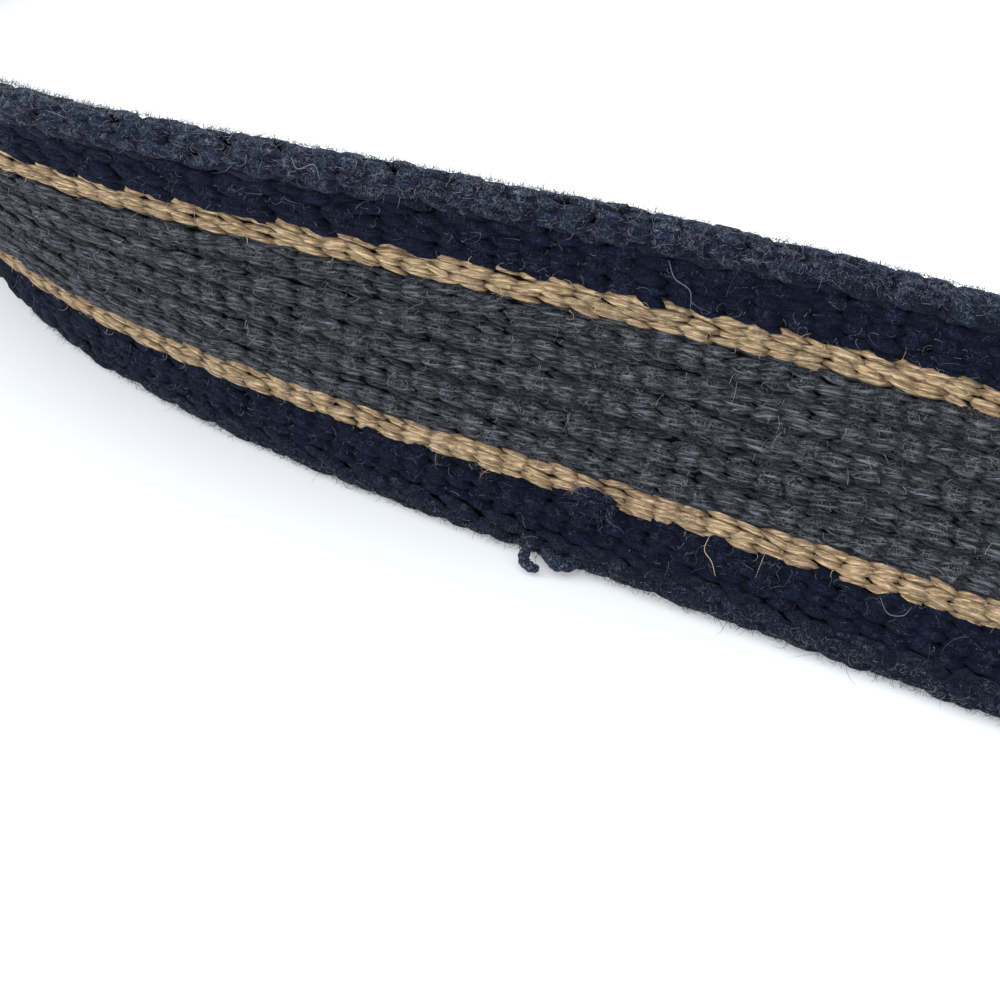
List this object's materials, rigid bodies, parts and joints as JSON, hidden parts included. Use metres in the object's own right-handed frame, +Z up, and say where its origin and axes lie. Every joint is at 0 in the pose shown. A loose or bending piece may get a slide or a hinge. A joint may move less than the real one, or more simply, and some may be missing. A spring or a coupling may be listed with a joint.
{
  "type": "canvas web belt",
  "caption": "Thick striped cotton webbing belt, fastened through a plain sleeve buckle to a closed waist loop that stands on its lower edge.",
  "frame": {"origin": "on the surface the belt stands on, under the middle of its box", "axes": "+Z up, the belt's front faces -Y, the buckle is at the back on +Y, +X to the right as seen from the front"},
  "size_m": [0.361, 0.2262, 0.0412],
  "materials": {
    "webbing": "coarse warp-faced cotton weave, navy edges, tan lines, grey middle",
    "buckle_metal": "brushed"
  },
  "bodies": {
    "root": {"strap": "webbing", "buckle": "buckle_metal"}
  },
  "joints": []
}
